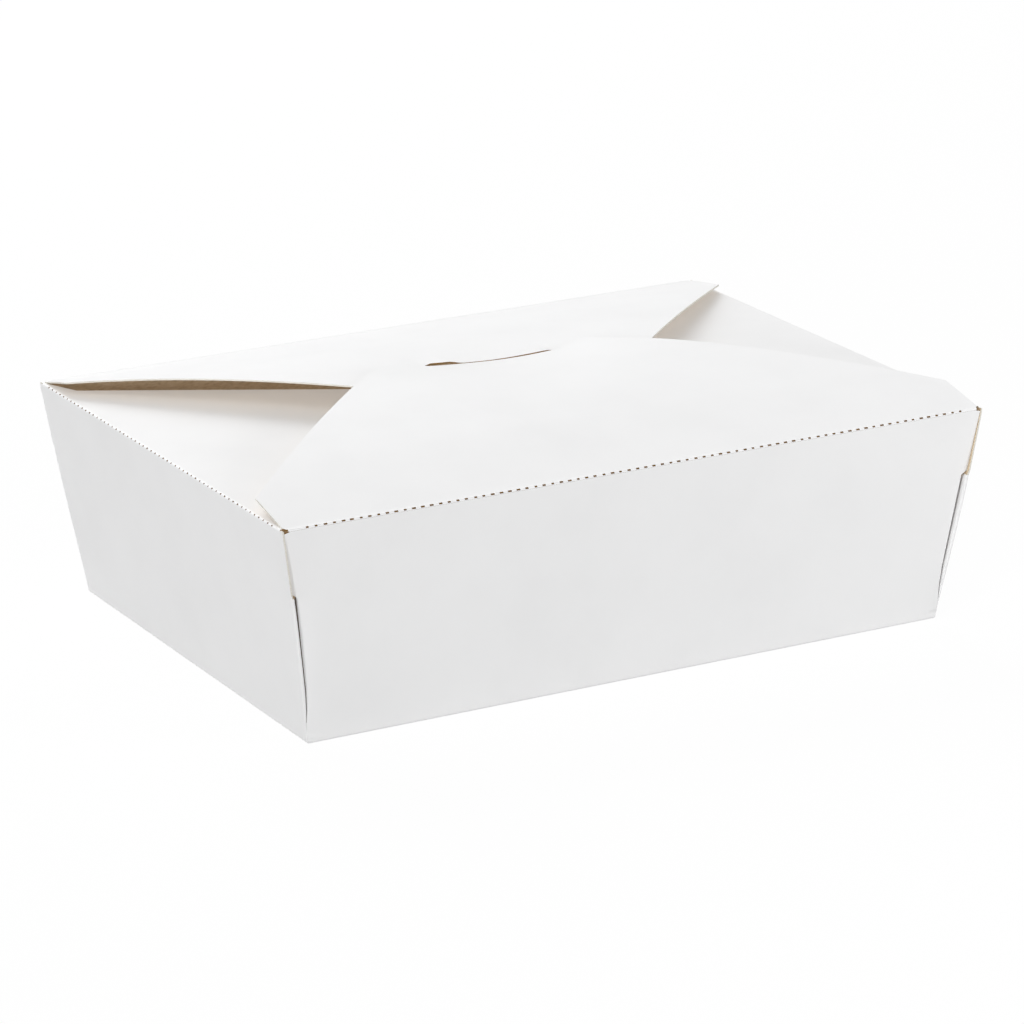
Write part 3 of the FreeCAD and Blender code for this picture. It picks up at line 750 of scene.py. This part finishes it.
def ring(z):
    """Points of the front right quarter at a height, from the front's middle to the end's."""
    x, y = outset(z, BASE_X, LEAN_X), outset(z, BASE_Y, LEAN_Y)
    grown = grown_roll(z)
    roll, end_roll = FOLD * grown, BOARD * grown
    gap = grown * between(SEAM_LOW, SEAM_TOP, clamp(z / WEB))
    out_y = min(y + proud(z) * grown, RIM_Y)
    laid = clamp((z - WEB) / UNROLLED)
    rising, falling = z * WEB_DEEP / WEB_LOW, WEB_DEEP * (WEB - z) / (WEB - WEB_LOW)
    deep = grown * max(min(rising, falling), 0)
    front_end = x - 2 * end_roll - gap
    points = [Vector((share * (front_end - roll), -y, z)) for share in ALONG]
    for step in range(1, ROLL_STEPS + 1):
        angle = math.pi / 2 * step / ROLL_STEPS
        rolled = Vector((
            front_end - roll + roll * math.sin(angle), -y + roll - roll * math.cos(angle), z,
        ))
        edge = x - BOARD - EDGE_GAP - step_left(step) * roll
        points.append(rolled.lerp(Vector((edge, -y, z)), laid))
    points.append(Vector((front_end, -y + roll + deep, z)))
    points.append(Vector((front_end + gap, -y + roll + deep, z)))
    for step in range(2 * ROLL_STEPS + 1):
        angle = math.pi * step / (2 * ROLL_STEPS)
        rolled = Vector((
            x - end_roll - end_roll * math.cos(angle),
            -out_y + end_roll - end_roll * math.sin(angle),
            z,
        ))
        flat_y = -out_y + max(0.0, FLAT_STEP * (step - ROLL_STEPS - 1))
        points.append(rolled.lerp(Vector((x, flat_y, z)), laid))
    points += [Vector((x, -share * (out_y - END_LEFT), z)) for share in reversed(ACROSS[:-1])]
    return points


COLUMNS = len(ring(10))
ROLL_START = len(ALONG) - 1
WEB_FOLD = ROLL_START + ROLL_STEPS + 1
END_ROLL = WEB_FOLD + 2


def open_corner(column, z):
    """Whether the sheet is cut away between a column and the next one, over a height."""
    if z > WEB:
        return ROLL_START + 3 <= column < END_ROLL + ROLL_STEPS + 1
    return column == WEB_FOLD and z > WEB_LOW


print(COLUMNS, "columns and", len(WALL_ROWS), "rows to a quarter of the ring")

# %% The whole tray
tray_bm = bmesh.new()
bmesh.ops.create_grid(tray_bm, x_segments=COLUMNS - 1, y_segments=len(WALL_ROWS) - 1, size=0.5)


def cell(co):
    """Column and row of a point of the flat grid."""
    return (co.x + 0.5) * (COLUMNS - 1), (co.y + 0.5) * (len(WALL_ROWS) - 1)


gone = []
for face in tray_bm.faces:
    column, row = (int(n) for n in cell(face.calc_center_median()))
    if open_corner(column, (WALL_ROWS[row] + WALL_ROWS[row + 1]) / 2):
        gone.append(face)
bmesh.ops.delete(tray_bm, geom=gone, context="FACES")
rings = [ring(z) for z in WALL_ROWS]
for v in tray_bm.verts:
    column, row = (round(n) for n in cell(v.co))
    v.co = rings[row][column]
for axis in "XY":
    bmesh.ops.mirror(tray_bm, geom=whole(tray_bm), merge_dist=1e-4, axis=axis)
bmesh.ops.remove_doubles(tray_bm, verts=tray_bm.verts, dist=SAME)

UNDER_CREASE, HOLE_DOWN, CORNER_UP = 0.13, 0.3, 0.33
for v in [v for v in tray_bm.verts if v.co.z > WALL_TOP - 0.01]:
    x, y = abs(v.co.x), abs(v.co.y)
    if v.co.y < -RIM_Y + 0.2 and x < ROOT + 0.01:
        # The front wall goes on until just under the front flap's crease.
        v.co += Vector((0, -math.tan(LEAN_Y), 1)) * UNDER_CREASE
    elif ROOT + 0.05 < x < END_WALL:
        # A small round hole is left where the creases meet.
        v.co.z -= HOLE_DOWN
    elif x > END_WALL and y > END_ROOT + 0.5:
        # Beside its flap's root the end wall goes on to the crease's height.
        v.co.z += CORNER_UP
foot = [e for e in tray_bm.edges if e.is_boundary and all(v.co.z < SAME for v in e.verts)]
bmesh.ops.edgeloop_fill(tray_bm, edges=foot)
print("tray", len(tray_bm.faces), "faces, base loop of", len(foot), "edges")

# %% Tray and flaps as one sheet
bmesh.ops.mirror(end_bm, geom=whole(end_bm), merge_dist=-1, axis="X")
for part in (rear_bm, end_bm):
    loose = bpy.data.meshes.new("part")
    part.to_mesh(loose)
    part.free()
    tray_bm.from_mesh(loose)
    bpy.data.meshes.remove(loose)
JOINED = 0.02                      # points of the walls and flaps closer than this are joined
bmesh.ops.remove_doubles(tray_bm, verts=tray_bm.verts, dist=JOINED)
bmesh.ops.recalc_face_normals(tray_bm, faces=tray_bm.faces)
carton = finish_board("carton_sheet", tray_bm, "carton", "carton")

# %% [markdown]
# ## Floor and light
#
# The photograph has a white surround, so the floor and the sky show white to the camera, but
# light the box far less. A weak even sky and five soft lamps light it: from the left, from
# behind on the left, from the near right, from above in front and from above behind. Two more
# lamps cast no shadow, because in the photograph the gaps under the flaps are lit almost as
# brightly as the open faces. One strong lamp and a bright room could do it too, but would clip
# the tops to white. The floor keeps the box's shadow, which is faint, as in the photograph.


# %% Floor
def seen_directly(add, link):
    """1 for what the camera, a reflection or a clear material sees, and 0 for the light."""
    path = add("ShaderNodeLightPath")
    first = add("ShaderNodeMath", operation="MAXIMUM")
    link(path.outputs["Is Camera Ray"], first.inputs[0])
    link(path.outputs["Is Glossy Ray"], first.inputs[1])
    second = add("ShaderNodeMath", operation="MAXIMUM")
    link(first.outputs[0], second.inputs[0])
    link(path.outputs["Is Transmission Ray"], second.inputs[1])
    return second.outputs[0]


FLOOR_LIT, FLOOR_SEEN = 0.38, 0.95  # the floor's tone for the light, and for the camera
FLOOR_GLOW = 0.945                 # how much of what the camera sees is the floor's own glow

paper, shader, add, link = new_material("white_floor")
seen = seen_directly(add, link)
grey = add("ShaderNodeMix", data_type="RGBA")
grey.inputs["A"].default_value = (FLOOR_LIT, FLOOR_LIT, FLOOR_LIT, 1)
grey.inputs["B"].default_value = (FLOOR_SEEN, FLOOR_SEEN, FLOOR_SEEN, 1)
matt(shader, 0.9, 0.0)
glow = add("ShaderNodeEmission", Color=(1, 1, 1, 1), Strength=1.0)
both = add("ShaderNodeMixShader")
share = add("ShaderNodeMath", operation="MULTIPLY")
link(seen, share.inputs[0])
share.inputs[1].default_value = FLOOR_GLOW
for socket in grey.inputs:
    if socket.name == "Factor" and socket.type == "VALUE":
        link(seen, socket)
for socket in grey.outputs:
    if socket.type == "RGBA":
        link(socket, shader.inputs["Base Color"])
link(share.outputs[0], both.inputs["Fac"])
link(shader.outputs["BSDF"], both.inputs[1])
link(glow.outputs["Emission"], both.inputs[2])
link(both.outputs["Shader"], paper.node_tree.nodes["Material Output"].inputs["Surface"])

floor_bm = bmesh.new()
bmesh.ops.create_grid(floor_bm, x_segments=1, y_segments=1, size=6)
floor_mesh = bpy.data.meshes.new("floor")
floor_bm.to_mesh(floor_mesh)
floor_bm.free()
floor_mesh.materials.append(paper)
floor = bpy.data.objects.new("floor", floor_mesh)
bpy.context.scene.collection.objects.link(floor)
print("floor", tuple(floor.dimensions))

# %% Sky and lamps
world = bpy.data.worlds.new("surround")
world.use_nodes = True
bpy.context.scene.world = world
nodes, links = world.node_tree.nodes, world.node_tree.links
sky = nodes["Background"]
sky.inputs["Color"].default_value = (1, 1, 1, 1)


def world_node(kind, **values):
    """A new node of the world, with properties set."""
    node = nodes.new(kind)
    for key, value in values.items():
        setattr(node, key, value)
    return node


SKY_LIGHT = 0.22
level_of_sky = world_node("ShaderNodeMapRange")
links.new(seen_directly(world_node, links.new), level_of_sky.inputs["Value"])
level_of_sky.inputs["To Min"].default_value = SKY_LIGHT
level_of_sky.inputs["To Max"].default_value = 1.0
links.new(level_of_sky.outputs["Result"], sky.inputs["Strength"])


LIT_POINT = Vector((0, 0, 0.03))


def lamp(name, place, size, power, shadow=True):
    """A large soft lamp that looks at the box. One without shadow fills the gaps."""
    data = bpy.data.lights.new(name, "AREA")
    data.shape = "SQUARE"
    data.size = size
    data.energy = power
    data.use_shadow = shadow
    made = bpy.data.objects.new(name, data)
    aim = (LIT_POINT - Vector(place)).to_track_quat("-Z", "Y")
    made.matrix_world = Matrix.Translation(place) @ aim.to_matrix().to_4x4()
    bpy.context.scene.collection.objects.link(made)
    print(name, "at", place, "with", power, "W")


lamp("left_lamp", (-2.065, -1.341, 0.464), 0.35, 22)
lamp("left_rear_lamp", (-0.75, 0.45, 0.15), 0.3, 0.8)
lamp("near_right_lamp", (0.5, -0.55, 0.27), 0.3, 2.1)
lamp("front_top_lamp", (-1.30, -1.09, 1.73), 0.8, 8.5)
lamp("rear_top_lamp", (0.1, 1.9, 1.5), 1.5, 26)
lamp("top_fill", (0.1, 1.9, 1.5), 1.5, 22, shadow=False)
lamp("low_front_fill", (-1.073, -1.977, 0.508), 0.6, 8, shadow=False)
bpy.context.scene.view_settings.view_transform = "Standard"
